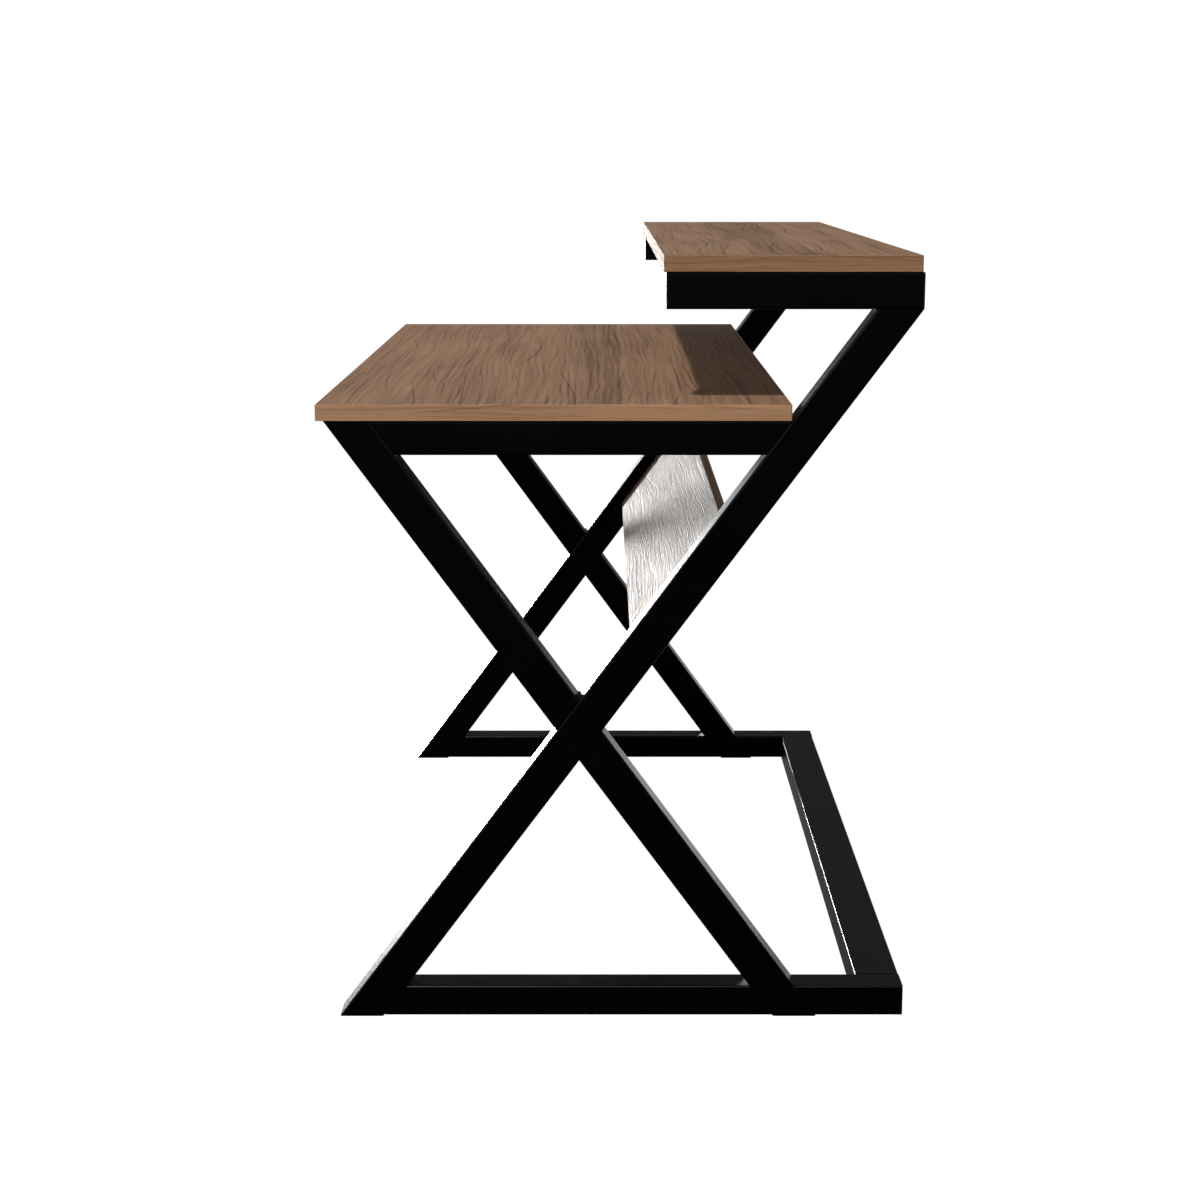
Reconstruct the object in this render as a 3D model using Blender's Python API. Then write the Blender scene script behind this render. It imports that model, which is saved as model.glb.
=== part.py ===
"""A two-level desk: a desktop and a raised shelf on two welded X frames of steel tube.

Metres, +Z up. X is the desk's length, the front faces -Y, and the origin is on the floor
under the middle of the desk. Heights are measured from the floor and depths from the
desktop's front edge; y_at() turns a depth into a Y coordinate.
"""
import math

import bmesh
import bpy
from mathutils import Euler, Matrix, Vector

# Boards
LENGTH = 1.200  # desktop and shelf, along X
OVERALL_DEPTH = 0.699  # from the desktop's front edge to the shelf rails' rear ends
DESK_DEPTH = 0.550
DESK_TOP = 0.748
SHELF_FRONT = 0.4012
SHELF_DEPTH = 0.295
SHELF_TOP = 0.918
BOARD = 0.019
BAND = 0.001  # thickness of the edge bands
PANEL_BOARD = 0.018
PANEL_WIDTH = 0.185
PANEL_SETBACK = 0.018  # from the long diagonals' front faces to the panel's face
PANEL_HEIGHT = 0.523  # of the middle of the panel's face

# Side frames
FRAME_INSET = 0.0025  # from the boards' ends to the frames' outer faces
TUBE_WIDTH = 0.040  # every frame tube, along X
DIAGONAL_DEPTH = 0.0435
DESK_RAIL_DEPTH = 0.040
SHELF_RAIL_DEPTH = 0.0423
FLOOR_RAIL_DEPTH = 0.038
WALL = 0.0015
CORNER = 0.002  # outer radius of the tubes' edges
CORNER_STEPS = 3
LONG_FOOT_BACK = 0.0651  # depth of the long diagonal's rear face at the floor
SHORT_FOOT_BACK = 0.5922
SHORT_HEAD_BACK = 0.0620  # depth of the short diagonal's rear face under the desktop
SHELF_RAIL_FRONT = 0.404
FLOOR_RAIL_END = 0.697
CROSS_RAIL_DEPTH = 0.054
CROSSING_RADIUS = 0.003  # rounded weld in the upper notch of the crossing

# Glides, caps and fixings
GLIDE = 0.0012  # thickness of a glide under a foot
GLIDE_INSET = 0.0005
CAP = 0.002
PLUG_LENGTH = 0.014  # how far glides and caps reach into the tubes
BOLT_RADIUS = 0.003
BOLT_HEAD_RADIUS = 0.0053
BOLT_HEAD_HEIGHT = 0.0033
ACCESS_RADIUS = 0.0065  # of the holes under the rails that reach the bolts
HEX_RADIUS = 0.0023
HEX_DEPTH = 0.002
BOLT_GRIP = 0.012  # how far the bolts reach into the boards
DESK_BOLT_DEPTHS = (0.150, 0.430)
SHELF_BOLT_DEPTHS = (0.450, 0.580)
CAM_RADIUS = 0.0075
CAM_LENGTH = 0.0125
CAM_BOLT_RADIUS = 0.003
CAM_REACH = 0.034  # from the panel's end to the cam lock's axis
CAM_SPACING = 0.110
SPIGOT_LENGTH = 0.060
SPIGOT_WALL = 0.003
SCREW_HEAD_RADIUS = 0.0055
SCREW_HEAD_HEIGHT = 0.003
SCREW_TIP = 0.004  # how far a screw passes the spigot's wall

GAP = 0.0003  # clearance between pieces that touch
ROUND_SIDES = 16
OVERCUT = 0.010  # how far a cutter runs past what it cuts

FRAME_OUTER = LENGTH / 2 - FRAME_INSET
FRAME_MIDDLE = FRAME_OUTER - TUBE_WIDTH / 2
FRAME_INNER = FRAME_OUTER - TUBE_WIDTH
DESK_UNDER = DESK_TOP - BOARD
SHELF_UNDER = SHELF_TOP - BOARD
SHELF_RAIL_UNDER = SHELF_UNDER - SHELF_RAIL_DEPTH
DESK_RAIL_UNDER = DESK_UNDER - DESK_RAIL_DEPTH
FLOOR_RAIL_TOP = GLIDE + FLOOR_RAIL_DEPTH
LONG_SLOPE = (OVERALL_DEPTH - LONG_FOOT_BACK) / SHELF_RAIL_UNDER
SHORT_SLOPE = (SHORT_HEAD_BACK - SHORT_FOOT_BACK) / DESK_UNDER

DOWN = Vector((0, 0, -1))
UP = Vector((0, 0, 1))

BLACK_PAINT = ((0.010, 0.010, 0.011), 0.30, 0.0)
WALNUT = ((0.240, 0.140, 0.088), 0.45, 0.0)
WALNUT_BAND = ((0.260, 0.140, 0.070), 0.50, 0.0)
BLACK_PLASTIC = ((0.012, 0.012, 0.012), 0.50, 0.0)
BLACK_STEEL = ((0.030, 0.030, 0.032), 0.35, 1.0)
ZINC = ((0.560, 0.570, 0.580), 0.30, 1.0)


def y_at(depth):
    """The Y coordinate of a depth measured from the desktop's front edge."""
    return depth - OVERALL_DEPTH / 2


def clear_scene():
    for item in list(bpy.data.objects):
        bpy.data.objects.remove(item, do_unlink=True)


def new_collection(name):
    collection = bpy.data.collections.new(name)
    bpy.context.scene.collection.children.link(collection)
    return collection


def finish_material(name, look):
    """A Principled material of the object's own, from (colour, roughness, metallic)."""
    colour, roughness, metallic = look
    material = bpy.data.materials.new(name + "_finish")
    material.use_nodes = True
    shader = material.node_tree.nodes["Principled BSDF"]
    shader.inputs["Base Color"].default_value = (*colour, 1.0)
    shader.inputs["Roughness"].default_value = roughness
    shader.inputs["Metallic"].default_value = metallic
    return material


def add_object(name, bm, look, location=(0, 0, 0), rotation=(0, 0, 0)):
    """Closes a bmesh into a named part of the desk."""
    bmesh.ops.recalc_face_normals(bm, faces=bm.faces)
    mesh = bpy.data.meshes.new(name)
    bm.to_mesh(mesh)
    bm.free()
    mesh.materials.append(finish_material(name, look))
    item = bpy.data.objects.new(name, mesh)
    item.location = location
    item.rotation_euler = rotation
    PARTS.objects.link(item)
    return item


def add_cutter(name, bm, location=(0, 0, 0), rotation=(0, 0, 0)):
    """A hidden guide solid for a Boolean."""
    bmesh.ops.recalc_face_normals(bm, faces=bm.faces)
    mesh = bpy.data.meshes.new(name)
    bm.to_mesh(mesh)
    bm.free()
    item = bpy.data.objects.new(name, mesh)
    item.location = location
    item.rotation_euler = rotation
    item.hide_render = True
    item.display_type = "WIRE"
    CUTTERS.objects.link(item)
    return item


def boolean(item, other, operation="DIFFERENCE"):
    modifier = item.modifiers.new(other.name, "BOOLEAN")
    modifier.operation = operation
    modifier.solver = "EXACT"
    modifier.object = other


def box_mesh(low, high):
    """A box between two corners."""
    low, high = Vector(low), Vector(high)
    bm = bmesh.new()
    bmesh.ops.create_cube(bm, size=1.0)
    bmesh.ops.scale(bm, vec=high - low, verts=bm.verts)
    bmesh.ops.translate(bm, vec=(low + high) / 2, verts=bm.verts)
    return bm


def rounded_bar(width, depth, length, radius, axis=2):
    """A bar along one local axis, with its four long edges rounded."""
    size = [width, depth, length] if axis == 2 else [length, width, depth]
    bm = bmesh.new()
    bmesh.ops.create_cube(bm, size=1.0)
    bmesh.ops.scale(bm, vec=size, verts=bm.verts)
    if radius > 0:
        long_edges = [e for e in bm.edges if abs((e.verts[0].co - e.verts[1].co)[axis]) > length / 2]
        bmesh.ops.bevel(
            bm, geom=long_edges, offset=radius, segments=CORNER_STEPS, profile=0.5, affect="EDGES"
        )
    return bm


def trim(bm, matrix, planes):
    """Cuts away what lies beyond each (point, outward normal) plane, given in world space."""
    to_local = matrix.inverted()
    for point, normal in planes:
        geometry = bm.verts[:] + bm.edges[:] + bm.faces[:]
        bmesh.ops.bisect_plane(
            bm,
            geom=geometry,
            dist=1e-7,
            plane_co=to_local @ Vector(point),
            plane_no=to_local.to_3x3() @ Vector(normal),
            clear_outer=True,
        )
        rim = [e for e in bm.edges if e.is_boundary]
        bmesh.ops.contextual_create(bm, geom=rim)


class Line:
    """The middle line of a straight tube in a side frame, in the YZ plane."""

    def __init__(self, middle_y, middle_z, slope, depth):
        self.middle_y = middle_y
        self.middle_z = middle_z
        self.depth = depth
        self.angle = -math.atan(slope)
        self.along = Vector((0, slope, 1)).normalized()
        self.across = Vector((0, 1, -slope)).normalized()

    def location(self, side):
        return Vector((side * FRAME_MIDDLE, self.middle_y, self.middle_z))

    def rear_face(self, gap=GAP):
        """A plane just behind the tube: (point, normal towards the tube)."""
        point = Vector((0, self.middle_y, self.middle_z)) + self.across * (self.depth / 2 + gap)
        return point, -self.across

    def front_face(self, gap=GAP):
        point = Vector((0, self.middle_y, self.middle_z)) - self.across * (self.depth / 2 + gap)
        return point, self.across


def diagonal_line(foot_back, slope, height):
    """A diagonal whose rear face meets the floor at foot_back, centred at a height."""
    half_run = DIAGONAL_DEPTH / 2 * math.sqrt(1 + slope * slope)
    return Line(y_at(foot_back) - half_run + slope * height, height, slope, DIAGONAL_DEPTH)


LONG = diagonal_line(LONG_FOOT_BACK, LONG_SLOPE, SHELF_RAIL_UNDER / 2)
SHORT = diagonal_line(SHORT_FOOT_BACK, SHORT_SLOPE, DESK_UNDER / 2)


def diagonal_bar(name, side, line, planes):
    """A hollow diagonal tube, trimmed by planes."""
    matrix = Matrix.Translation(line.location(side)) @ Euler((line.angle, 0, 0)).to_matrix().to_4x4()
    length = 1.3
    bm = rounded_bar(TUBE_WIDTH, line.depth, length, CORNER)
    trim(bm, matrix, planes)
    tube = add_object(name, bm, BLACK_PAINT, line.location(side), (line.angle, 0, 0))
    hollow = rounded_bar(TUBE_WIDTH - 2 * WALL, line.depth - 2 * WALL, length + OVERCUT, 0)
    boolean(tube, add_cutter(name + "_hollow", hollow, line.location(side), (line.angle, 0, 0)))
    return tube


def level_bar(name, side, front, rear, top, depth, planes=()):
    """A hollow horizontal tube of a side frame, along Y."""
    middle = Vector((side * FRAME_MIDDLE, (y_at(front) + y_at(rear)) / 2, top - depth / 2))
    lying = Euler((math.pi / 2, 0, 0))
    matrix = Matrix.Translation(middle) @ lying.to_matrix().to_4x4()
    bm = rounded_bar(TUBE_WIDTH, depth, rear - front, CORNER)
    trim(bm, matrix, planes)
    tube = add_object(name, bm, BLACK_PAINT, middle, lying)
    hollow = rounded_bar(TUBE_WIDTH - 2 * WALL, depth - 2 * WALL, rear - front + OVERCUT, 0)
    boolean(tube, add_cutter(name + "_hollow", hollow, middle, lying))
    return tube


def foot_glide(name, side, line):
    """A plastic glide under a diagonal: a thin sole and a plug up inside the tube."""
    location = line.location(side)
    matrix = Matrix.Translation(location) @ Euler((line.angle, 0, 0)).to_matrix().to_4x4()
    sole = rounded_bar(TUBE_WIDTH - 2 * GLIDE_INSET, line.depth - 2 * GLIDE_INSET, 1.3, CORNER)
    trim(sole, matrix, [((0, 0, 0), DOWN), ((0, 0, GLIDE), UP)])
    glide = add_object(name, sole, BLACK_PLASTIC, location, (line.angle, 0, 0))
    clear = 2 * (WALL + GAP)
    plug = rounded_bar(TUBE_WIDTH - clear, line.depth - clear, 1.3, 0)
    trim(plug, matrix, [((0, 0, GLIDE / 2), DOWN), ((0, 0, GLIDE + PLUG_LENGTH), UP)])
    boolean(glide, add_cutter(name + "_plug", plug, location, (line.angle, 0, 0)), "UNION")


def rail_cap(name, side, depth_at, outward, top, depth):
    """A cap that closes the open end of a level tube: a flange and a plug."""
    lying = (math.pi / 2, 0, 0)
    flange_middle = Vector((side * FRAME_MIDDLE, y_at(depth_at) - outward * CAP / 2, top - depth / 2))
    flange = rounded_bar(TUBE_WIDTH, depth, CAP, CORNER)
    cap = add_object(name, flange, BLACK_PLASTIC, flange_middle, lying)
    clear = 2 * (WALL + GAP)
    plug = rounded_bar(TUBE_WIDTH - clear, depth - clear, PLUG_LENGTH, 0)
    plug_middle = flange_middle - Vector((0, outward * PLUG_LENGTH / 2, 0))
    boolean(cap, add_cutter(name + "_plug", plug, plug_middle, lying), "UNION")


def crossing_weld(name, side):
    """The rounded weld where the short diagonal meets the long one's front face."""
    long_point, long_across = LONG.front_face()
    short_point, short_across = SHORT.rear_face()
    # The notch's corner, where the two faces meet.
    base = Matrix(((LONG.along.y, -SHORT.along.y), (LONG.along.z, -SHORT.along.z)))
    run = base.inverted() @ Vector((short_point.y - long_point.y, short_point.z - long_point.z))
    corner = long_point + LONG.along * run[0]
    half_angle = LONG.along.angle(SHORT.along) / 2
    middle = (LONG.along + SHORT.along).normalized()
    centre = corner + middle * (CROSSING_RADIUS / math.sin(half_angle))
    start = math.atan2(-long_across.z, -long_across.y) + math.pi
    end = math.atan2(-short_across.z, -short_across.y) + math.pi
    sweep = (end - start + math.pi) % (2 * math.pi) - math.pi
    steps = 8
    outline = [corner]
    for i in range(steps + 1):
        angle = start + sweep * i / steps
        outline.append(centre + CROSSING_RADIUS * Vector((0, math.cos(angle), math.sin(angle))))
    curve = bpy.data.curves.new(name, "CURVE")
    curve.dimensions = "2D"
    curve.fill_mode = "BOTH"
    curve.extrude = TUBE_WIDTH / 2 - CORNER
    spline = curve.splines.new("POLY")
    spline.points.add(len(outline) - 1)
    for point, place in zip(spline.points, outline):
        point.co = (place.y - corner.y, place.z - corner.z, 0, 1)
    spline.use_cyclic_u = True
    curve.materials.append(finish_material(name, BLACK_PAINT))
    weld = bpy.data.objects.new(name, curve)
    # The outline's own X and Y lie along the desk's Y and Z.
    weld.rotation_euler = (math.pi / 2, 0, math.pi / 2)
    weld.location = (side * FRAME_MIDDLE, corner.y, corner.z)
    PARTS.objects.link(weld)


def cylinder_into(bm, radius, low, high, x, y, sides=ROUND_SIDES):
    """Adds an upright cylinder to a bmesh."""
    matrix = Matrix.Translation((x, y, (low + high) / 2))
    bmesh.ops.create_cone(
        bm,
        cap_ends=True,
        segments=sides,
        radius1=radius,
        radius2=radius,
        depth=high - low,
        matrix=matrix,
    )


def upright_cylinders(places, radius, low, high, sides=ROUND_SIDES):
    bm = bmesh.new()
    for x, y in places:
        cylinder_into(bm, radius, low, high, x, y, sides)
    return bm


def rail_bolts(rail, board, side, depths, rail_under, board_under):
    """Bolts inside a rail, through its upper wall into a board, and the holes that reach them."""
    head_top = board_under - WALL - 2 * GAP
    head_low = head_top - BOLT_HEAD_HEIGHT
    bolt_top = board_under + BOLT_GRIP
    for row, depth in enumerate(depths, 1):
        place = [(side * FRAME_MIDDLE, y_at(depth))]
        name = f"{rail.name}_bolt_{row}"
        head = upright_cylinders(place, BOLT_HEAD_RADIUS, head_low, head_top)
        bolt = add_object(name, head, BLACK_STEEL)
        shank = upright_cylinders(place, BOLT_RADIUS, head_top - GAP, bolt_top)
        boolean(bolt, add_cutter(name + "_shank", shank), "UNION")
        socket = upright_cylinders(place, HEX_RADIUS, head_low - OVERCUT, head_low + HEX_DEPTH, 6)
        boolean(bolt, add_cutter(name + "_socket", socket))
    places = [(side * FRAME_MIDDLE, y_at(depth)) for depth in depths]
    bolt_holes = upright_cylinders(places, BOLT_RADIUS + GAP, head_low, bolt_top + GAP)
    hole_cutter = add_cutter(rail.name + "_bolt_holes", bolt_holes)
    boolean(rail, hole_cutter)
    boolean(board, hole_cutter)
    access_holes = upright_cylinders(places, ACCESS_RADIUS, rail_under - OVERCUT, head_low)
    boolean(rail, add_cutter(rail.name + "_access_holes", access_holes))


def banded_board(name, front, depth, top):
    """A laminated board along X with an edge band on each of its four edges."""
    under = top - BOARD
    near, far = y_at(front), y_at(front + depth)
    half = LENGTH / 2
    inset = BAND + GAP
    core = box_mesh((-half + inset, near + inset, under), (half - inset, far - inset, top))
    board = add_object(name + "_board", core, WALNUT)
    bands = {
        "front": ((-half + inset, near, under), (half - inset, near + BAND, top)),
        "rear": ((-half + inset, far - BAND, under), (half - inset, far, top)),
        "right": ((half - BAND, near, under), (half, far, top)),
        "left": ((-half, near, under), (-half + BAND, far, top)),
    }
    for edge, (low, high) in bands.items():
        add_object(f"{name}_{edge}_edge_band", box_mesh(low, high), WALNUT_BAND)
    return board


def side_frame(prefix, side):
    """One welded frame. Returns the rails that carry the boards."""
    floor = ((0, 0, GLIDE + GAP), DOWN)
    under_shelf_rail = ((0, 0, SHELF_RAIL_UNDER - GAP), UP)
    under_desk = ((0, 0, DESK_UNDER - GAP), UP)
    diagonal_bar(prefix + "_long_diagonal", side, LONG, [floor, under_shelf_rail])
    diagonal_bar(prefix + "_short_diagonal_upper", side, SHORT, [under_desk, LONG.front_face()])
    diagonal_bar(prefix + "_short_diagonal_lower", side, SHORT, [floor, LONG.rear_face()])
    crossing_weld(prefix + "_crossing_weld", side)

    desk_rail = level_bar(
        prefix + "_desktop_rail", side, 0, DESK_DEPTH + 0.05, DESK_UNDER - GAP, DESK_RAIL_DEPTH - GAP,
        [SHORT.rear_face(), LONG.front_face()],
    )
    shelf_rail = level_bar(
        prefix + "_shelf_rail", side, SHELF_RAIL_FRONT + CAP + GAP, OVERALL_DEPTH - CAP - GAP,
        SHELF_UNDER - GAP, SHELF_RAIL_DEPTH - GAP,
    )
    level_bar(
        prefix + "_floor_rail", side, 0, SHORT_FOOT_BACK, FLOOR_RAIL_TOP, FLOOR_RAIL_DEPTH,
        [LONG.rear_face(), SHORT.front_face()],
    )
    level_bar(
        prefix + "_floor_rail_rear", side, SHORT_FOOT_BACK - 0.1, FLOOR_RAIL_END - CAP - GAP,
        FLOOR_RAIL_TOP, FLOOR_RAIL_DEPTH, [SHORT.rear_face()],
    )
    foot_glide(prefix + "_front_glide", side, LONG)
    foot_glide(prefix + "_rear_glide", side, SHORT)
    rail_cap(
        prefix + "_shelf_rail_front_cap", side, SHELF_RAIL_FRONT, -1, SHELF_UNDER - GAP,
        SHELF_RAIL_DEPTH - GAP,
    )
    rail_cap(
        prefix + "_shelf_rail_rear_cap", side, OVERALL_DEPTH, 1, SHELF_UNDER - GAP,
        SHELF_RAIL_DEPTH - GAP,
    )
    rail_cap(prefix + "_floor_rail_cap", side, FLOOR_RAIL_END, 1, FLOOR_RAIL_TOP, FLOOR_RAIL_DEPTH)
    return desk_rail, shelf_rail


def cross_rail():
    """The floor rail between the frames, with the spigots and screws that hold it."""
    lying = (math.pi / 2, 0, 0)
    middle_y = y_at(FLOOR_RAIL_END) - CROSS_RAIL_DEPTH / 2
    middle_z = FLOOR_RAIL_TOP - FLOOR_RAIL_DEPTH / 2
    centre = Vector((0, middle_y, middle_z))
    length = 2 * (FRAME_INNER - GAP)
    rail = add_object(
        "floor_cross_rail",
        rounded_bar(CROSS_RAIL_DEPTH, FLOOR_RAIL_DEPTH, length, CORNER, axis=0),
        BLACK_PAINT,
        centre,
    )
    inner_depth = CROSS_RAIL_DEPTH - 2 * WALL
    inner_height = FLOOR_RAIL_DEPTH - 2 * WALL
    hollow = rounded_bar(inner_depth, inner_height, length + OVERCUT, 0, axis=0)
    boolean(rail, add_cutter("cross_rail_hollow", hollow, centre))

    rear_y = y_at(FLOOR_RAIL_END)
    head_inner = rear_y - SCREW_HEAD_HEIGHT
    screw_tip = rear_y - WALL - SPIGOT_WALL - SCREW_TIP
    for prefix, side in (("right", 1), ("left", -1)):
        spigot_centre = Vector((side * (FRAME_INNER - SPIGOT_LENGTH / 2), middle_y, middle_z))
        name = prefix + "_cross_rail_spigot"
        sleeve = rounded_bar(
            inner_depth - 2 * GAP, inner_height - 2 * GAP, SPIGOT_LENGTH - 2 * GAP, 0, axis=0
        )
        spigot = add_object(name, sleeve, BLACK_STEEL, spigot_centre)
        bore_depth = inner_depth - 2 * SPIGOT_WALL
        bore_height = inner_height - 2 * SPIGOT_WALL
        bore = rounded_bar(bore_depth, bore_height, SPIGOT_LENGTH + OVERCUT, 0, axis=0)
        boolean(spigot, add_cutter(name + "_bore", bore, spigot_centre))

        name = prefix + "_cross_rail_screw"
        place = Vector((spigot_centre.x, 0, middle_z))
        head = cone_along_y(place, BOLT_RADIUS, SCREW_HEAD_RADIUS, head_inner, rear_y)
        screw = add_object(name, head, BLACK_STEEL)
        shank = cone_along_y(place, BOLT_RADIUS, BOLT_RADIUS, screw_tip, head_inner + GAP)
        boolean(screw, add_cutter(name + "_shank", shank), "UNION")
        socket = cone_along_y(place, HEX_RADIUS, HEX_RADIUS, rear_y - HEX_DEPTH, rear_y + OVERCUT, 6)
        boolean(screw, add_cutter(name + "_socket", socket))
        hole_radius = BOLT_RADIUS + GAP
        hole = cone_along_y(place, hole_radius, hole_radius, screw_tip - GAP, rear_y + OVERCUT)
        hole_cutter = add_cutter(name + "_hole", hole)
        boolean(rail, hole_cutter)
        boolean(spigot, hole_cutter)
        seat_radius = SCREW_HEAD_RADIUS + 2 * GAP
        seat = cone_along_y(place, hole_radius, seat_radius, head_inner - GAP, rear_y)
        seat_cutter = add_cutter(name + "_seat", seat)
        boolean(rail, seat_cutter)
        boolean(spigot, seat_cutter)


def cone_along_y(place, inner_radius, outer_radius, low_y, high_y, sides=ROUND_SIDES):
    """A cone or cylinder along Y, its second radius to the rear."""
    bm = bmesh.new()
    middle = Vector((place.x, (low_y + high_y) / 2, place.z))
    turn = Matrix.Rotation(-math.pi / 2, 4, "X")
    bmesh.ops.create_cone(
        bm,
        cap_ends=True,
        segments=sides,
        radius1=inner_radius,
        radius2=outer_radius,
        depth=high_y - low_y,
        matrix=Matrix.Translation(middle) @ turn,
    )
    return bm


def slanted_panel():
    """The panel between the frames, with its edge bands, cam bolts and cam locks."""
    front_point = LONG.front_face(0)[0]
    run = (PANEL_HEIGHT - front_point.z + PANEL_SETBACK * LONG.across.z * -1) / LONG.along.z
    face_middle = front_point + LONG.across * PANEL_SETBACK + LONG.along * run
    centre = face_middle + LONG.across * (PANEL_BOARD / 2)
    rotation = (LONG.angle, 0, 0)
    half = FRAME_INNER - GAP
    inset = BAND + GAP
    thick, width = PANEL_BOARD / 2, PANEL_WIDTH / 2
    core = box_mesh((-half, -thick, -width + inset), (half, thick, width - inset))
    board = add_object("panel_board", core, WALNUT, centre, rotation)
    bands = {
        "top": ((-half, -thick, width - BAND), (half, thick, width)),
        "bottom": ((-half, -thick, -width), (half, thick, -width + BAND)),
    }
    for edge, (low, high) in bands.items():
        name = f"panel_{edge}_edge_band"
        add_object(name, box_mesh(low, high), WALNUT_BAND, centre, rotation)

    along_x = Matrix.Rotation(math.pi / 2, 4, "Y")
    across = Matrix.Rotation(math.pi / 2, 4, "X")
    bolt_length = CAM_REACH - CAM_RADIUS - GAP
    pocket_length = CAM_LENGTH + GAP + OVERCUT
    lock_y = thick - CAM_LENGTH / 2
    pocket_y = thick + OVERCUT - pocket_length / 2
    for prefix, side in (("right", 1), ("left", -1)):
        bolt_x = side * (half - bolt_length / 2)
        lock_x = side * (half - CAM_REACH)
        for row, level in (("lower", -CAM_SPACING / 2), ("upper", CAM_SPACING / 2)):
            name = f"{prefix}_panel_{row}_cam"
            bolt = cylinder_at(CAM_BOLT_RADIUS, bolt_length, along_x, (bolt_x, 0, level))
            add_object(name + "_bolt", bolt, ZINC, centre, rotation)
            hole_radius = CAM_BOLT_RADIUS + GAP
            hole = cylinder_at(hole_radius, 2 * CAM_REACH, along_x, (side * half, 0, level))
            boolean(board, add_cutter(name + "_bolt_hole", hole, centre, rotation))
            lock_mesh = cylinder_at(CAM_RADIUS, CAM_LENGTH, across, (lock_x, lock_y, level))
            lock = add_object(name + "_lock", lock_mesh, ZINC, centre, rotation)
            slot = cylinder_at(HEX_RADIUS, 2 * HEX_DEPTH, across, (lock_x, thick, level), 6)
            boolean(lock, add_cutter(name + "_slot", slot, centre, rotation))
            pocket = cylinder_at(CAM_RADIUS + GAP, pocket_length, across, (lock_x, pocket_y, level))
            boolean(board, add_cutter(name + "_pocket", pocket, centre, rotation))


def cylinder_at(radius, length, turn, place, sides=ROUND_SIDES):
    """A cylinder turned by a matrix and centred at a place."""
    bm = bmesh.new()
    bmesh.ops.create_cone(
        bm,
        cap_ends=True,
        segments=sides,
        radius1=radius,
        radius2=radius,
        depth=length,
        matrix=Matrix.Translation(place) @ turn,
    )
    return bm


clear_scene()
PARTS = new_collection("two_level_desk")
CUTTERS = new_collection("cutters")

desktop = banded_board("desktop", 0, DESK_DEPTH, DESK_TOP)
shelf = banded_board("shelf", SHELF_FRONT, SHELF_DEPTH, SHELF_TOP)
for frame_prefix, frame_side in (("right", 1), ("left", -1)):
    desk_rail, shelf_rail = side_frame(frame_prefix, frame_side)
    rail_bolts(desk_rail, desktop, frame_side, DESK_BOLT_DEPTHS, DESK_RAIL_UNDER, DESK_UNDER)
    rail_bolts(shelf_rail, shelf, frame_side, SHELF_BOLT_DEPTHS, SHELF_RAIL_UNDER, SHELF_UNDER)
cross_rail()
slanted_panel()
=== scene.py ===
"""Looks of the two-level desk: refined boards and tubes, walnut laminate and black powder coat."""

import math

import bmesh
import bpy
from mathutils import Matrix, Vector


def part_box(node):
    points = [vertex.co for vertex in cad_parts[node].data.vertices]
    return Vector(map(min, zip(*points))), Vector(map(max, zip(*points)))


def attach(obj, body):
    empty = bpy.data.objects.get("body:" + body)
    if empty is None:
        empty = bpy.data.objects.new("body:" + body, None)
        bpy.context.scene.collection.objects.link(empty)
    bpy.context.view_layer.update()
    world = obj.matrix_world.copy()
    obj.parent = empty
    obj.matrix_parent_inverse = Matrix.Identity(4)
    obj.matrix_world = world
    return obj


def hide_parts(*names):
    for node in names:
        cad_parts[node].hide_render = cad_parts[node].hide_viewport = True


# Design sizes that the frame's boxes don't give, in metres.
BAND = 0.001
BAND_ROUND = 0.0007
BAND_STEPS = 4
BOARD_CORNER = 0.0015
CORNER_STEPS = 5
LAMINATE_ROUND = 0.0002
TUBE_ROUND = 0.0026
TUBE_STEPS = 6
UNCUT_TUBE = 3.0
SHARP_ANGLE = math.radians(40.0)
GAP = 0.0003
CAP_CHAMFER = 0.0006
CAP_FLANGE = 0.002
WELD_RADIUS = 0.003
WELD_STEPS = 12
WELD_SIDE_GAP = 0.0004
WELD_ROOT = 0.0005
ACCESS_RADIUS = 0.0065
CAM_POCKET_RADIUS = 0.0078
CAM_POCKET_DEPTH = 0.0128

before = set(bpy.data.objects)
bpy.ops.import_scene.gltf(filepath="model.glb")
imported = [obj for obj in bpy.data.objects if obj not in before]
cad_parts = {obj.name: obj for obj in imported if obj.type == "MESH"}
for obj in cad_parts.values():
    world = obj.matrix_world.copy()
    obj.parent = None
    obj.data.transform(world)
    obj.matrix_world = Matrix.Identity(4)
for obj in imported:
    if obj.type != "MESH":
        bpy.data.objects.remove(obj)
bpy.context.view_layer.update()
SIDES = ("right", "left")


# ---------------------------------------------------------------- materials


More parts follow.
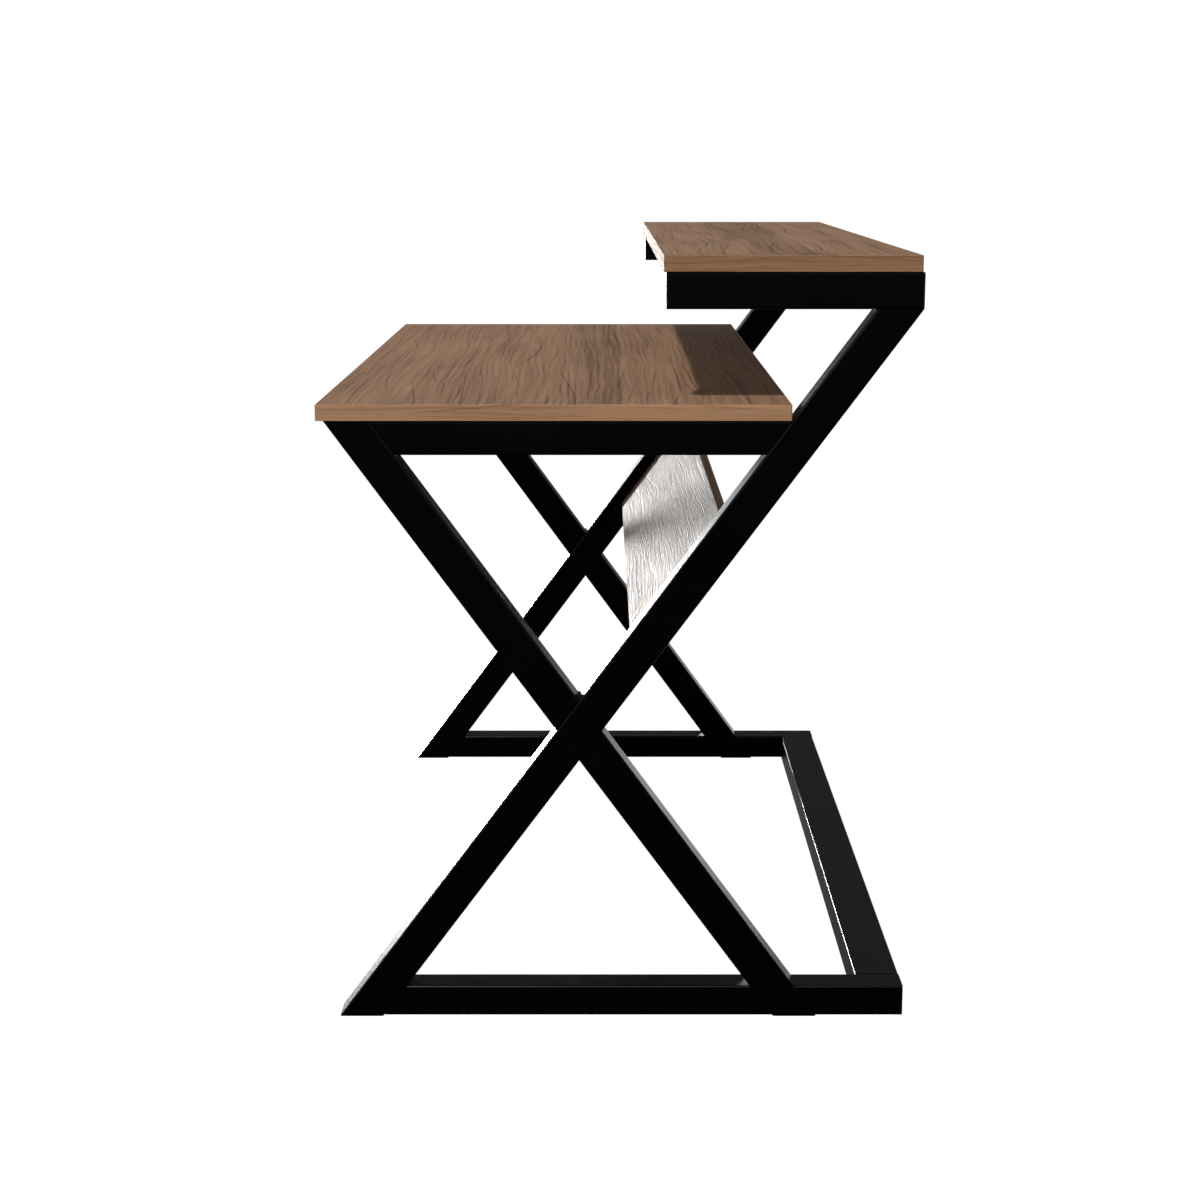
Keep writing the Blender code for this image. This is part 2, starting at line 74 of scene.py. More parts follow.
class Finish:
    """A procedural material under construction, with short helpers for its nodes."""

    def __init__(self, name):
        self.material = bpy.data.materials.new(name)
        self.material.use_nodes = True
        self.tree = self.material.node_tree
        self.shader = self.tree.nodes["Principled BSDF"]

    def add(self, kind, **settings):
        node = self.tree.nodes.new(kind)
        for key, value in settings.items():
            setattr(node, key, value)
        return node

    def put(self, socket, value):
        if isinstance(value, bpy.types.NodeSocket):
            self.tree.links.new(value, socket)
        else:
            socket.default_value = value

    def math(self, operation, first, second=0.0, third=0.0, clamp=False):
        node = self.add("ShaderNodeMath", operation=operation, use_clamp=clamp)
        for socket, value in zip(node.inputs, (first, second, third)):
            self.put(socket, value)
        return node.outputs[0]

    def vector(self, x, y, z):
        node = self.add("ShaderNodeCombineXYZ")
        for socket, value in zip(node.inputs, (x, y, z)):
            self.put(socket, value)
        return node.outputs[0]

    def split(self, vector):
        node = self.add("ShaderNodeSeparateXYZ")
        self.put(node.inputs[0], vector)
        return node.outputs

    def product(self, result, *factors):
        for factor in factors:
            result = self.math("MULTIPLY", result, factor)
        return result

    def total(self, result, *terms):
        for term in terms:
            result = self.math("ADD", result, term)
        return result

    def add_scaled(self, base, *parts):
        """Adds every (part, strength) pair to the base."""
        for part, strength in parts:
            base = self.math("MULTIPLY_ADD", part, strength, base)
        return base

    def noise(self, vector, detail=2.0, roughness=0.5, scale=1.0, normalize=True):
        """Perlin noise: 0 to 1 when normalized, otherwise about zero."""
        node = self.add("ShaderNodeTexNoise", normalize=normalize)
        self.put(node.inputs["Vector"], vector)
        node.inputs["Scale"].default_value = scale
        node.inputs["Detail"].default_value = detail
        node.inputs["Roughness"].default_value = roughness
        return node.outputs["Fac"]

    def ease(self, value, low, high, start=0.0, end=1.0):
        """Goes smoothly from start to end while the value goes from low to high."""
        node = self.add("ShaderNodeMapRange", interpolation_type="SMOOTHSTEP")
        for socket, number in zip(node.inputs, (value, low, high, start, end)):
            self.put(socket, number)
        return node.outputs[0]

    def fall(self, value, low, high):
        return self.ease(value, low, high, 1.0, 0.0)

    def ramp(self, value, stops):
        """Looks a value up in a list of (place, colour) stops."""
        node = self.add("ShaderNodeValToRGB")
        self.put(node.inputs[0], value)
        elements = node.color_ramp.elements
        while len(elements) < len(stops):
            elements.new(1.0)
        for element, (place, colour) in zip(elements, stops):
            element.position = place
            element.color = (*colour, 1.0)
        return node.outputs[0]

    def bump(self, height, strength, distance):
        node = self.add("ShaderNodeBump")
        node.inputs["Strength"].default_value = strength
        node.inputs["Distance"].default_value = distance
        self.put(node.inputs["Height"], height)
        self.put(self.shader.inputs["Normal"], node.outputs[0])

    def set(self, **values):
        """Fills the shader's sockets and gives the finished material."""
        for key, value in values.items():
            self.put(self.shader.inputs[key.replace("_", " ")], value)
        return self.material


# Walnut from its darkest to its lightest tone, before the tint.
WALNUT_TONES = (
    (0.00, (0.090, 0.037, 0.017)),
    (0.30, (0.190, 0.095, 0.049)),
    (0.58, (0.335, 0.189, 0.107)),
    (0.80, (0.415, 0.248, 0.145)),
    (1.00, (0.500, 0.314, 0.190)),
)
FACE_TINT = (0.72, 0.72, 0.72)

# How the grain wanders: length and width of a bend, its reach and the noise layer it is read from.
BENDS = (
    (0.55, 0.16, 0.0100, 0.0),
    (0.17, 0.060, 0.0042, 2.0),
    (0.075, 0.022, 0.0012, 4.0),
)


class Grain:
    """Streaks and lines that follow the wandering grain of one piece of decor.

    x runs along the grain and line across it, both in metres. seed sets decors apart.
    """

    def __init__(self, finish, x, y, seed):
        self.f = finish
        self.x = x
        self.line = y
        self.seed = seed
        for length, width, reach, layer in BENDS:
            self.line = finish.add_scaled(self.line, (self.streaks(length, width, layer), reach))

    def streaks(self, length, width, layer, detail=0.0, roughness=0.5):
        """Noise about zero, stretched to streaks of about this length and width."""
        f = self.f
        along = f.math("DIVIDE", self.x, length)
        across = f.math("DIVIDE", self.line, width)
        place = f.vector(along, across, self.seed + layer)
        return f.noise(place, detail, roughness, normalize=False)

    def rings(self, spacing, waver, thickness, layer):
        """Thin lines along the grain, one per spacing, as a 0 to 1 mask."""
        f = self.f
        drift = f.math("MULTIPLY", self.streaks(0.42, 0.09, layer), waver)
        turn = f.math("FRACT", f.math("MULTIPLY_ADD", self.line, 1.0 / spacing, drift))
        distance = f.math("ABSOLUTE", f.math("SUBTRACT", turn, 0.5))
        return f.fall(distance, 0.0, thickness / spacing)

    def dark_band(self, first, last):
        """A band that darkens slowly from first and ends at last, and the seam where it ends."""
        f = self.f
        rise = f.ease(self.line, first, first + 0.45 * (last - first))
        band = f.product(rise, f.fall(self.line, last - 0.0010, last + 0.0014))
        distance = f.math("ABSOLUTE", f.math("SUBTRACT", self.line, last))
        return band, f.fall(distance, 0.0, 0.0017)


def walnut(
    name, seed, along, across, tint=FACE_TINT, figure=1.0, dark_band=None, dark=0.0,
    satin=0.60, relief=0.15, depth=0.00008,
):
    """Walnut decor: streaks and growth lines along the grain, veins, pores and a dark band.

    along and across are functions that take the Finish and return the two coordinates.
    tint scales the colours and figure the lines. dark_band holds the band's two edges, and
    dark is its strength. satin is the roughness between the pores. relief and depth are the
    strength and height of the embossed grain.
    """
    f = Finish(name)
    grain = Grain(f, along(f), across(f), seed)
    wide = grain.streaks(0.34, 0.075, 10.0)
    middle = grain.streaks(0.28, 0.026, 12.0)
    narrow = grain.streaks(0.50, 0.0080, 14.0, 2.0, 0.85)
    fibres = grain.streaks(0.18, 0.0016, 16.0, 1.0, 0.7)
    pores = f.ease(grain.streaks(0.022, 0.00060, 18.0), 0.22, 0.55)
    veined = f.ease(grain.streaks(0.30, 0.030, 22.0), -0.12, 0.10)
    veins = f.product(grain.rings(0.027, 1.1, 0.0015, 20.0), veined)
    ringed = f.ease(grain.streaks(0.30, 0.030, 26.0), -0.20, 0.25)
    growth = f.product(grain.rings(0.0084, 1.3, 0.0019, 24.0), ringed)

    tone = f.add_scaled(
        0.64, (wide, 0.135), (middle, 0.07), (narrow, 0.16 * figure), (fibres, 0.19),
        (veins, -0.36 * figure), (growth, -0.21 * figure), (pores, -0.16),
    )
    if dark_band:
        band, seam = grain.dark_band(*dark_band)
        tone = f.add_scaled(tone, (band, -dark), (seam, -0.16))
    tone = f.math("ADD", tone, 0.0, clamp=True)
    tinted = [
        (place, [part * scale for part, scale in zip(shade, tint)])
        for place, shade in WALNUT_TONES
    ]
    rough = f.add_scaled(satin, (fibres, 0.10), (f.total(pores, growth), 0.12))
    f.bump(f.add_scaled(fibres, (f.total(pores, veins), -0.8)), relief, depth)
    return f.set(Base_Color=f.ramp(tone, tinted), Roughness=rough, IOR=1.40)


def object_axis(index):
    """A coordinate of the piece's own frame: 0 is X, 1 is Y, 2 is Z."""
    return lambda f: f.split(f.add("ShaderNodeTexCoord").outputs["Object"])[index]


def map_axis(index):
    """A coordinate of the piece's UV map, in metres: 0 runs along a band, 1 across it."""
    return lambda f: f.split(f.add("ShaderNodeUVMap", uv_map="band").outputs[0])[index]


def powder_coat(name):
    """Black satin powder coat with slight orange peel, handling marks and uneven gloss."""
    f = Finish(name)
    place = f.add("ShaderNodeTexCoord").outputs["Object"]
    peel = f.noise(place, 2.0, 0.5, 700.0)
    patches = f.noise(place, 3.0, 0.6, 7.0)
    scuffs = f.noise(place, 5.0, 0.7, 60.0)
    rough = f.add_scaled(0.24, (patches, 0.08), (f.ease(scuffs, 0.60, 0.80), 0.08))
    colour = f.ramp(patches, [(0.3, (0.0003, 0.0003, 0.0004)), (0.7, (0.0006, 0.0006, 0.0007))])
    f.bump(peel, 0.01, 0.00001)
    return f.set(Base_Color=colour, Roughness=rough, IOR=1.30)


def moulded_plastic(name):
    """Black plastic with a fine moulded grain."""
    f = Finish(name)
    place = f.add("ShaderNodeTexCoord").outputs["Object"]
    grain = f.noise(place, 3.0, 0.6, 2200.0)
    blotches = f.noise(place, 2.0, 0.5, 60.0)
    colour = f.ramp(blotches, [(0.3, (0.0035, 0.0035, 0.0037)), (0.7, (0.0060, 0.0060, 0.0062))])
    f.bump(grain, 0.25, 0.00005)
    return f.set(Base_Color=colour, Roughness=f.add_scaled(0.38, (blotches, 0.15)), IOR=1.25)


def plated_steel(name, light, dark, base_rough):
    """Plated or oxidised steel with fine turning marks and small stains."""
    f = Finish(name)
    place = f.add("ShaderNodeTexCoord").outputs["Object"]
    stains = f.noise(place, 4.0, 0.6, 240.0)
    marks = f.noise(place, 2.0, 0.5, 3500.0)
    colour = f.ramp(stains, [(0.35, dark), (0.65, light)])
    f.bump(marks, 0.15, 0.00004)
    rough = f.add_scaled(base_rough, (stains, 0.20))
    return f.set(Base_Color=colour, Roughness=rough, Metallic=1.0)


PAINT = powder_coat("black_powder_coat")
PLASTIC = moulded_plastic("black_plastic")
BLACK_STEEL = plated_steel("black_oxide_steel", (0.055, 0.055, 0.060), (0.030, 0.030, 0.032), 0.25)
ZINC = plated_steel("zinc_plate", (0.62, 0.63, 0.64), (0.48, 0.49, 0.50), 0.22)


# ------------------------------------------------------------------ meshes


def add_object(name, bm, matrix=None):
    """Turns a bmesh into an object of the scene."""
    mesh = bpy.data.meshes.new(name)
    bm.to_mesh(mesh)
    bm.free()
    item = bpy.data.objects.new(name, mesh)
    if matrix is not None:
        item.matrix_world = matrix
    bpy.context.scene.collection.objects.link(item)
    return item


def finish_mesh(name, bm, material, nodes, matrix=None):
    """Turns a bmesh into a piece that stands for some CAD nodes."""
    bmesh.ops.recalc_face_normals(bm, faces=bm.faces)
    piece = add_object(name, bm, matrix)
    piece.data.shade_smooth()
    piece.data.set_sharp_from_angle(angle=SHARP_ANGLE)
    piece.data.materials.append(material)
    even = piece.modifiers.new("even_normals", "WEIGHTED_NORMAL")
    even.keep_sharp = True
    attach(piece, "root")
    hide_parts(*nodes)
    return piece


def round_cutter(name, place, radius, half_depth, segments, matrix=None):
    """An upright cylinder that guides a Boolean and is never rendered."""
    bm = bmesh.new()
    bmesh.ops.create_cone(
        bm, cap_ends=True, segments=segments, radius1=radius, radius2=radius, depth=2 * half_depth,
        matrix=Matrix.Translation(place),
    )
    cutter = add_object(name, bm, matrix)
    cutter.hide_render = True
    cutter.display_type = "WIRE"
    return cutter


def cut_away(piece, cutter):
    """Subtracts the cutter from the piece before its normals are evened."""
    cut = piece.modifiers.new("hole", "BOOLEAN")
    cut.operation = "DIFFERENCE"
    cut.solver = "EXACT"
    cut.object = cutter
    piece.modifiers.move(len(piece.modifiers) - 1, 0)


def box_mesh(size):
    """A plain box centred at the origin, to be softened."""
    bm = bmesh.new()
    bmesh.ops.create_cube(bm, size=1.0)
    bmesh.ops.scale(bm, vec=size, verts=bm.verts)
    return bm


def soften(bm, edges, width, steps):
    bmesh.ops.bevel(bm, geom=edges, offset=width, segments=steps, profile=0.5, affect="EDGES")


def rounded_bar(size, axis):
    """A bar centred at the origin, with a tube's round corners along one axis."""
    bm = box_mesh(size)
    edges = [e for e in bm.edges if abs((e.verts[0].co - e.verts[1].co)[axis]) > size[axis] / 2]
    soften(bm, edges, TUBE_ROUND, TUBE_STEPS)
    return bm


def trim(bm, matrix, planes):
    """Cuts away what lies beyond each (point, outward normal) plane, given in world space."""
    to_local = matrix.inverted()
    for point, normal in planes:
        bmesh.ops.bisect_plane(
            bm,
            geom=bm.verts[:] + bm.edges[:] + bm.faces[:],
            dist=1e-7,
            plane_co=to_local @ Vector(point),
            plane_no=to_local.to_3x3() @ Vector(normal),
            clear_outer=True,
        )
        bmesh.ops.contextual_create(bm, geom=[e for e in bm.edges if e.is_boundary])


def arc(centre, radius, first, last, steps):
    """Points of an arc in the plane, from the first to the last angle in degrees."""
    turns = [math.radians(first + (last - first) * i / steps) for i in range(steps + 1)]
    x, y = centre
    return [(x + radius * math.cos(turn), y + radius * math.sin(turn)) for turn in turns]


def edge_ring(half_x, half_y, thick):
    """Edge banding round a board: a rounded strip bent round four tight corners.

    Its UV map holds metres: along the strip, and up its face.
    """
    profile = [(-BAND, thick)]
    profile += arc((-BAND_ROUND, thick - BAND_ROUND), BAND_ROUND, 90, 0, BAND_STEPS)
    profile += arc((-BAND_ROUND, BAND_ROUND), BAND_ROUND, 0, -90, BAND_STEPS)
    profile.append((-BAND, 0.0))

    path = []
    for quarter, (sx, sy) in enumerate(((1, 1), (-1, 1), (-1, -1), (1, -1))):
        centre = Vector((sx * (half_x - BOARD_CORNER), sy * (half_y - BOARD_CORNER)))
        for unit in arc((0, 0), 1.0, 90 * quarter, 90 * quarter + 90, CORNER_STEPS):
            outward = Vector(unit)
            path.append((centre + BOARD_CORNER * outward, outward))

    bm = bmesh.new()
    layer = bm.loops.layers.uv.new("band")
    rows = []
    for place, outward in path:
        row = []
        for depth, height in profile:
            spot = place + outward * depth
            row.append(bm.verts.new((spot.x, spot.y, height - thick / 2)))
        rows.append(row)
    travelled = 0.0
    for i, row in enumerate(rows):
        following = rows[(i + 1) % len(rows)]
        step = (path[(i + 1) % len(path)][0] - path[i][0]).length
        count = len(profile)
        for j in range(count):
            k = (j + 1) % count
            face = bm.faces.new((row[j], following[j], following[k], row[k]))
            corners = ((travelled, j), (travelled + step, j), (travelled + step, k), (travelled, k))
            for loop, (run, index) in zip(face.loops, corners):
                loop[layer].uv = (run, profile[index][1] + profile[index][0])
        travelled += step
    return bm


def board(name, low, high, matrix, seed, nodes, band_nodes, holes=(), band_tint=FACE_TINT, **decor):
    """A laminated core and the edge banding round it, in the board's own frame."""
    size = high - low
    bm = box_mesh(Vector((size.x - 2 * BAND, size.y - 2 * BAND, size.z)))
    soften(bm, bm.edges[:], LAMINATE_ROUND, 2)
    face = walnut(name + "_walnut", seed, object_axis(0), object_axis(1), **decor)
    core = finish_mesh(name + "_laminate", bm, face, nodes, matrix)
    for cutter in holes:
        cut_away(core, cutter)
    edge = walnut(
        name + "_edge_walnut", seed + 11.0, map_axis(0), map_axis(1), tint=band_tint, figure=0.45,
        satin=0.63,
    )
    ring = edge_ring(size.x / 2, size.y / 2, size.z)
    finish_mesh(name + "_edge_banding", ring, edge, band_nodes, matrix)


# ------------------------------------------------------------------ boards


def level_board(name, seed, **looks):
    """The desktop or the shelf."""
    bands = [f"{name}_{edge}_edge_band" for edge in ("front", "rear", "right", "left")]
    corners = [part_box(node) for node in bands]
    low = Vector([min(c[0][i] for c in corners) for i in range(3)])
    high = Vector([max(c[1][i] for c in corners) for i in range(3)])
    matrix = Matrix.Translation((low + high) / 2)
    board(name, low, high, matrix, seed, [name + "_board"], bands, **looks)


class Diagonal:
    """The straight line of a diagonal tube, found from the flat faces of its node."""

    def __init__(self, node):
        # Faces slanted along the tube, so neither its sides nor its level cut ends.
        faces = [
            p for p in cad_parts[node].data.polygons
            if abs(p.normal.x) < 0.01 and 0.2 < abs(p.normal.z) < 0.98
        ]
        widest = max(faces, key=lambda p: p.area).normal
        self.across = Vector((0, widest.y, widest.z)).normalized() * math.copysign(1, widest.y)
        self.along = Vector((0, -self.across.z, self.across.y))
        places = [self.across.dot(p.center) for p in faces if abs(p.normal.dot(self.across)) > 0.9999]
        self.middle = self.across * (min(places) + max(places)) / 2
        self.depth = max(places) - min(places)
        self.angle = -math.atan2(self.along.y, self.along.z)

    def rear_face(self, gap=GAP):
        """A plane just outside the rear face, facing back at the tube."""
        return self.middle + self.across * (self.depth / 2 + gap), -self.across

    def front_face(self, gap=GAP):
        """A plane just outside the front face, facing back at the tube."""
        return self.middle - self.across * (self.depth / 2 + gap), self.across


def slanted_panel():
    """The panel between the long diagonals, with pockets for its cam locks."""
    long = Diagonal("right_long_diagonal")
    nodes = ["panel_board", "panel_top_edge_band", "panel_bottom_edge_band"]
    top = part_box("panel_top_edge_band")
    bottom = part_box("panel_bottom_edge_band")
    middle = (top[0] + top[1] + bottom[0] + bottom[1]) / 4
    up, out = long.along, -long.across
    points = [v.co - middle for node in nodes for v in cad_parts[node].data.vertices]
    half = Vector([max(abs(p.dot(axis)) for p in points) for axis in (Vector((1, 0, 0)), up, out)])
    turn = Matrix((Vector((1, 0, 0)), up, out)).transposed().to_4x4()
    matrix = Matrix.Translation(middle) @ turn
    cutters = []
    for prefix in SIDES:
        for row in ("lower", "upper"):
            low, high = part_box(f"{prefix}_panel_{row}_cam_lock")
            lock = matrix.inverted() @ ((low + high) / 2)
            place = (lock.x, lock.y, -half.z)
            name = f"{prefix}_{row}_cam_pocket"
            cutters.append(round_cutter(name, place, CAM_POCKET_RADIUS, CAM_POCKET_DEPTH, 32, matrix))
    board(
        "panel", -half, half, matrix, 41.0, nodes[:1], nodes[1:], cutters,
        band_tint=(1.04, 0.99, 0.89), figure=0.6, dark_band=(0.010, 0.045), dark=0.12,
        satin=0.53, relief=1.0, depth=0.00035,
    )


# ------------------------------------------------------------------ frames


def diagonal_tube(node, line, x, width, planes):
    """A diagonal tube on its line, trimmed where it meets the floor, a board or another tube."""
    centre = Matrix.Translation(Vector((x, 0, 0)) + line.middle)
    bm = rounded_bar((width, line.depth, UNCUT_TUBE), 2)
    bmesh.ops.transform(bm, matrix=centre @ Matrix.Rotation(line.angle, 4, "X"), verts=bm.verts)
    trim(bm, Matrix.Identity(4), planes)
    return finish_mesh(node + "_tube", bm, PAINT, [node])


def level_tube(node, planes=(), axis=1):
    """A level rail. Planes trim its ends where they meet a diagonal."""
    low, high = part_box(node)
    size = high - low
    matrix = Matrix.Translation((low + high) / 2)
    bm = rounded_bar(size, axis)
    trim(bm, matrix, planes)
    return finish_mesh(node + "_tube", bm, PAINT, [node], matrix)


def access_holes(rail, prefix, kind):
    """Blind holes under a rail, up to the bolts that hold the board."""
    rail_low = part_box(f"{prefix}_{kind}_rail")[0].z
    for row in (1, 2):
        low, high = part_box(f"{prefix}_{kind}_rail_bolt_{row}")
        place = ((low.x + high.x) / 2, (low.y + high.y) / 2, rail_low)
        name = f"{rail.name}_hole_{row}"
        cut_away(rail, round_cutter(name, place, ACCESS_RADIUS, high.z - rail_low, 40))


def end_cap(node, outward):
    """A cap's visible flange, its outer rim softened."""
    low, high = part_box(node)
    if outward > 0:
        low = Vector((low.x, high.y - CAP_FLANGE, low.z))
    else:
        high = Vector((high.x, low.y + CAP_FLANGE, high.z))
    bm = rounded_bar(high - low, 1)
    rim = [e for e in bm.edges if all(v.co.y * outward > 0 for v in e.verts)]
    soften(bm, rim, CAP_CHAMFER, 3)
    matrix = Matrix.Translation((low + high) / 2)
    finish_mesh(node + "_flange", bm, PLASTIC, [node], matrix)


def crossing_weld(prefix, long, short):
    """The small weld in the upper notch of the crossing."""
    low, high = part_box(prefix + "_crossing_weld")
    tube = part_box(prefix + "_long_diagonal")
    notch = Vector((0, *meeting_point(long.front_face(0.0)[0], long, short.rear_face(0.0)[0], short)))
    half_angle = long.along.angle(short.along) / 2
    middle = (long.along + short.along).normalized()
    root = notch - middle * WELD_ROOT
    centre = notch + middle * (WELD_RADIUS / math.sin(half_angle))
    start = math.degrees(math.atan2(long.across.z, long.across.y))
    end = math.degrees(math.atan2(-short.across.z, -short.across.y))
    sweep = (end - start + 180.0) % 360.0 - 180.0
    outline = [(root.y, root.z)]
    outline += arc((centre.y, centre.z), WELD_RADIUS, start, start + sweep, WELD_STEPS)
    half = (tube[1].x - tube[0].x) / 2 - WELD_SIDE_GAP
    bm = bmesh.new()
    face = bm.faces.new([bm.verts.new((-half, y - root.y, z - root.z)) for y, z in outline])
    moved = bmesh.ops.extrude_face_region(bm, geom=[face])["geom"]
    moved = [v for v in moved if isinstance(v, bmesh.types.BMVert)]
    bmesh.ops.translate(bm, vec=(2 * half, 0, 0), verts=moved)
    matrix = Matrix.Translation(((low.x + high.x) / 2, root.y, root.z))
    node = prefix + "_crossing_weld"
    finish_mesh(node + "_bead", bm, PAINT, [node], matrix)


def meeting_point(first, first_line, second, second_line):
    """Where two lines in the YZ plane cross, as (y, z), each through a point along its tube."""
    a, b = first_line.along, second_line.along
    base = Matrix(((a.y, -b.y), (a.z, -b.z)))
    run = base.inverted() @ Vector((second.y - first.y, second.z - first.z))
    place = first + a * run[0]
    return place.y, place.z


def side_frame(prefix):
    """One welded frame: diagonals, weld, rails and the caps of the open rails."""
    long = Diagonal(prefix + "_long_diagonal")
    short = Diagonal(prefix + "_short_diagonal_upper")
    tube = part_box(prefix + "_long_diagonal")
    x = (tube[0].x + tube[1].x) / 2
    width = tube[1].x - tube[0].x
    down, up = Vector((0, 0, -1)), Vector((0, 0, 1))
    foot = (tube[0], down)
    diagonal_tube(prefix + "_long_diagonal", long, x, width, [foot, (tube[1], up)])
    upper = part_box(prefix + "_short_diagonal_upper")
    diagonal_tube(
        prefix + "_short_diagonal_upper", short, x, width, [(upper[1], up), long.front_face()]
    )
    diagonal_tube(prefix + "_short_diagonal_lower", short, x, width, [foot, long.rear_face()])
    crossing_weld(prefix, long, short)
    desk_rail = level_tube(prefix + "_desktop_rail", [short.rear_face(), long.front_face()])
    access_holes(desk_rail, prefix, "desktop")
    access_holes(level_tube(prefix + "_shelf_rail"), prefix, "shelf")
    level_tube(prefix + "_floor_rail", [long.rear_face(), short.front_face()])
    level_tube(prefix + "_floor_rail_rear", [short.rear_face()])
    end_cap(prefix + "_shelf_rail_front_cap", -1)
    end_cap(prefix + "_shelf_rail_rear_cap", 1)
    end_cap(prefix + "_floor_rail_cap", 1)


def finish_cad_nodes():
    """Materials of the CAD nodes that stay: glides, bolts, screws, spigots and cams."""
    for name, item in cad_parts.items():
        if item.hide_render:
            continue
        if name.endswith("glide"):
            material = PLASTIC
        elif "cam_" in name:
            material = ZINC
        else:
            material = BLACK_STEEL
        item.data.materials.clear()
        item.data.materials.append(material)


level_board("desktop", 5.0, dark_band=(0.010, 0.077), dark=0.15, band_tint=(1.04, 0.99, 0.89))
level_board("shelf", 23.0, dark_band=(-0.060, 0.033), dark=0.15, band_tint=(0.79, 0.70, 0.57))
slanted_panel()
for frame_prefix in SIDES:
    side_frame(frame_prefix)
level_tube("floor_cross_rail", axis=0)
finish_cad_nodes()


# ------------------------------------------------------- camera and studio


def add_camera():
    """The main view: from the right-hand end, a little above the shelf."""
    lens = bpy.data.cameras.new("camera")
    lens.sensor_width = 36.0
    lens.lens = 65.27
    lens.clip_end = 100.0
    camera = bpy.data.objects.new("camera", lens)
    camera.location = (3.095, -0.021, 1.0325)
    camera.rotation_euler = (math.pi / 2 - math.radians(11.633), 0, math.pi / 2)
    bpy.context.scene.collection.objects.link(camera)
    bpy.context.scene.camera = camera


def add_sun(name, direction, energy, angle, colour=(1.0, 1.0, 1.0)):
    """A distant lamp whose light comes from the given direction."""
    sun = bpy.data.lights.new(name, "SUN")
    sun.energy = energy
    sun.angle = math.radians(angle)
    sun.color = colour
    lamp = bpy.data.objects.new(name, sun)
    lamp.rotation_euler = Vector(direction).to_track_quat("Z", "Y").to_euler()
    bpy.context.scene.collection.objects.link(lamp)


class Sky(Finish):
    """The world's node tree, with the same helpers as a material."""

    def __init__(self, name):
        self.world = bpy.data.worlds.new(name)
        self.world.use_nodes = True
        self.tree = self.world.node_tree
        self.tree.nodes.clear()


# Brightness by height, which is 0 straight down, 0.5 at the horizon and 1 straight up.
UPPER_STUDIO = (
    (0.49, 0.0), (0.51, 0.18), (0.55, 0.15), (0.62, 0.035), (0.68, 0.10), (0.80, 0.27), (1.0, 0.23),
)
FLOOR_GLOW = (
    (0.10, 0.06), (0.36, 0.90), (0.42, 0.60), (0.434, 0.70), (0.448, 2.20), (0.464, 2.10),
    (0.482, 0.06), (0.505, 0.0),
)


def grey_ramp(f, height, levels):
    return f.ramp(height, [(place, (level, level, level)) for place, level in levels])


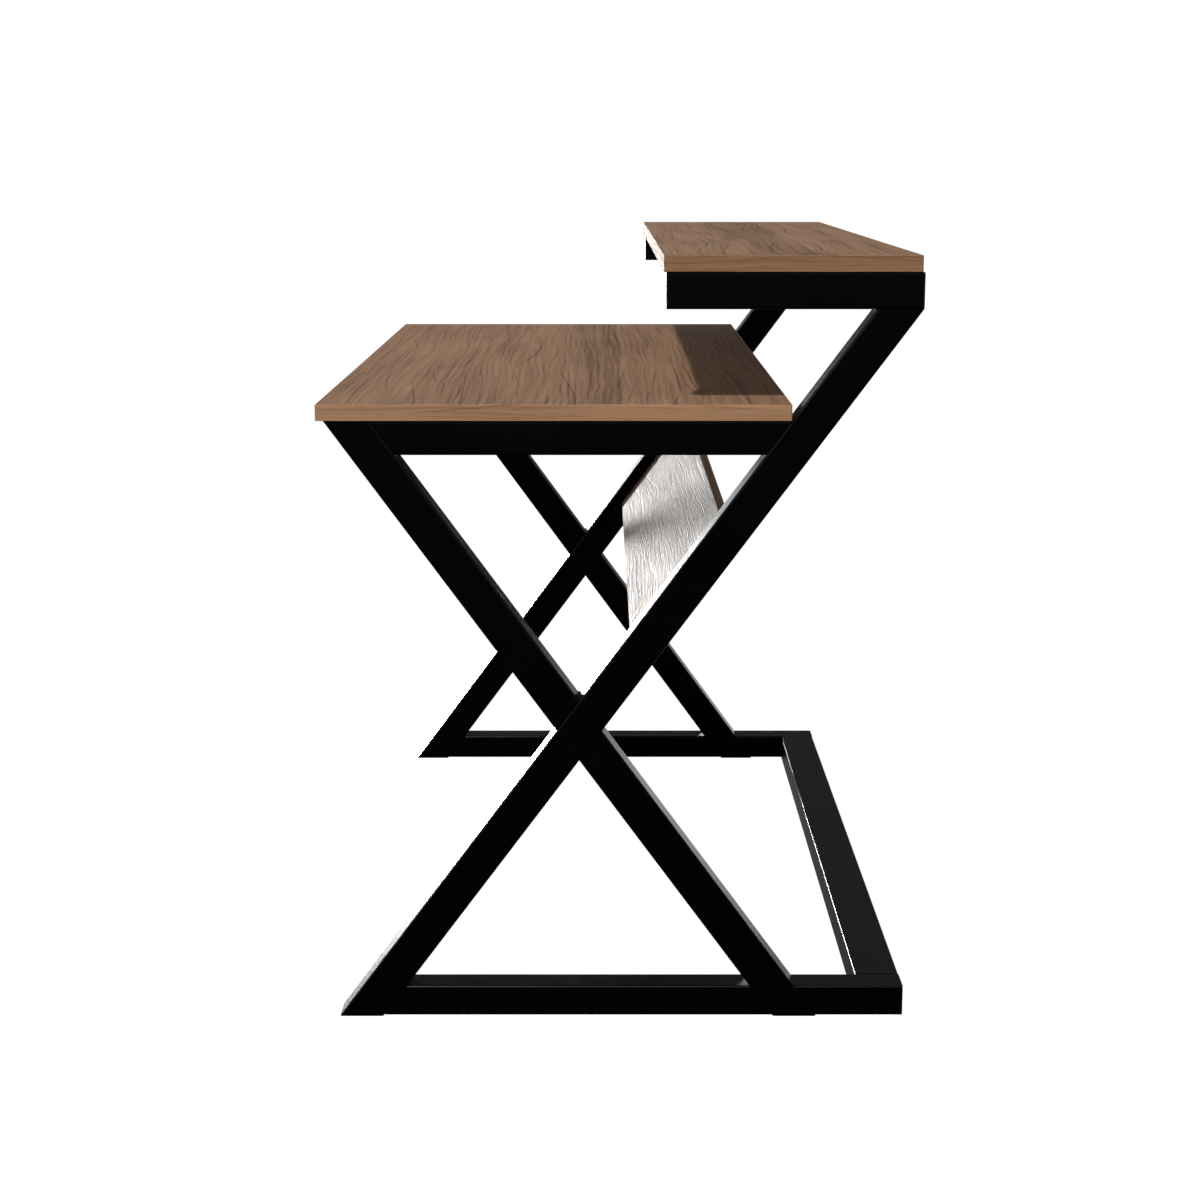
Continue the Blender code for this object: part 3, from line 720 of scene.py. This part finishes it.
def studio_level(f, x, y, z):
    """The studio's brightness in the direction (x, y, z). The camera stands at +X."""
    height = f.add_scaled(0.5, (z, 0.5))
    upper = grey_ramp(f, height, UPPER_STUDIO)
    # The lit floor, mostly on the desk's rear side.
    side = f.product(f.ease(y, 0.185, 0.265, 0.10, 1.0), f.fall(x, -0.75, -0.10))
    floor = f.product(grey_ramp(f, height, FLOOR_GLOW), side)
    # A window in front of the desk.
    window = f.product(f.fall(y, -0.90, -0.45), f.ease(z, 0.05, 0.25), f.fall(z, 0.45, 0.65))
    # A pale wall behind the camera, and daylight higher up on it.
    wall = f.product(
        f.ease(x, 0.5, 0.9), f.ease(z, -0.35, 0.0, 0.03, 0.30), f.ease(y, -0.20, 0.10, 0.15, 0.03)
    )
    daylight = f.product(
        f.ease(x, 0.25, 0.60), f.ease(z, 0.16, 0.34), f.ease(z, 0.55, 0.80, 0.5, 0.0)
    )
    # A bright strip of floor beyond the far end, cut off along a slanted line.
    lean = f.add_scaled(f.math("SUBTRACT", z, 0.16), (y, -0.5))
    strip = f.product(
        f.ease(y, -0.48, -0.30), f.fall(y, -0.13, -0.05), f.ease(lean, -0.34, -0.08),
        f.fall(z, 0.005, 0.04), f.fall(x, -0.8, -0.6),
    )
    return f.add_scaled(f.total(upper, floor, wall, daylight), (window, 1.1), (strip, 2.5))


def add_world():
    """White to the camera; to the desk, a dim studio with some bright sides."""
    f = Sky("studio")
    x, y, z = f.split(f.add("ShaderNodeTexCoord").outputs["Generated"])
    level = studio_level(f, x, y, z)
    dim = f.add("ShaderNodeBackground")
    cold = f.ease(x, 0.10, 0.50)
    cold = f.vector(f.add_scaled(1.0, (cold, -0.06)), 1.0, f.add_scaled(1.0, (cold, 0.12)))
    tint = f.add("ShaderNodeVectorMath", operation="SCALE")
    f.put(tint.inputs[0], cold)
    f.put(tint.inputs["Scale"], level)
    f.put(dim.inputs["Color"], tint.outputs[0])
    white = f.add("ShaderNodeBackground")
    white.inputs["Color"].default_value = (1.0, 1.0, 1.0, 1.0)
    mix = f.add("ShaderNodeMixShader")
    f.put(mix.inputs[0], f.add("ShaderNodeLightPath").outputs["Is Camera Ray"])
    f.put(mix.inputs[1], dim.outputs[0])
    f.put(mix.inputs[2], white.outputs[0])
    f.put(f.add("ShaderNodeOutputWorld").inputs["Surface"], mix.outputs[0])
    bpy.context.scene.world = f.world


def add_floor():
    """A pale floor seen by the camera only, so the desk mirrors the studio and not the floor."""
    bm = bmesh.new()
    bmesh.ops.create_grid(bm, x_segments=1, y_segments=1, size=30.0)
    floor = add_object("floor", bm)
    f = Finish("pale_floor")
    f.set(Base_Color=(0.05, 0.05, 0.05, 1.0), Roughness=0.9, IOR=1.1)
    f.set(Emission_Color=(1.0, 1.0, 1.0, 1.0), Emission_Strength=1.0)
    floor.data.materials.append(f.material)
    floor.location = (0, 0, -GAP)
    floor.visible_diffuse = False
    floor.visible_glossy = False
    floor.visible_shadow = False


add_camera()
# The key light comes from high behind the camera, a little to its left. The low one shines level
# from beyond the desk's far end, from in front of it.
add_sun("key", (0.648, -0.2355, 0.7246), 2.85, 2.4, (1.0, 0.985, 0.955))
add_sun("low_back_light", (-0.932, -0.363, 0.0), 1.65, 9.0)
add_world()
add_floor()
bpy.context.scene.view_settings.view_transform = "Standard"
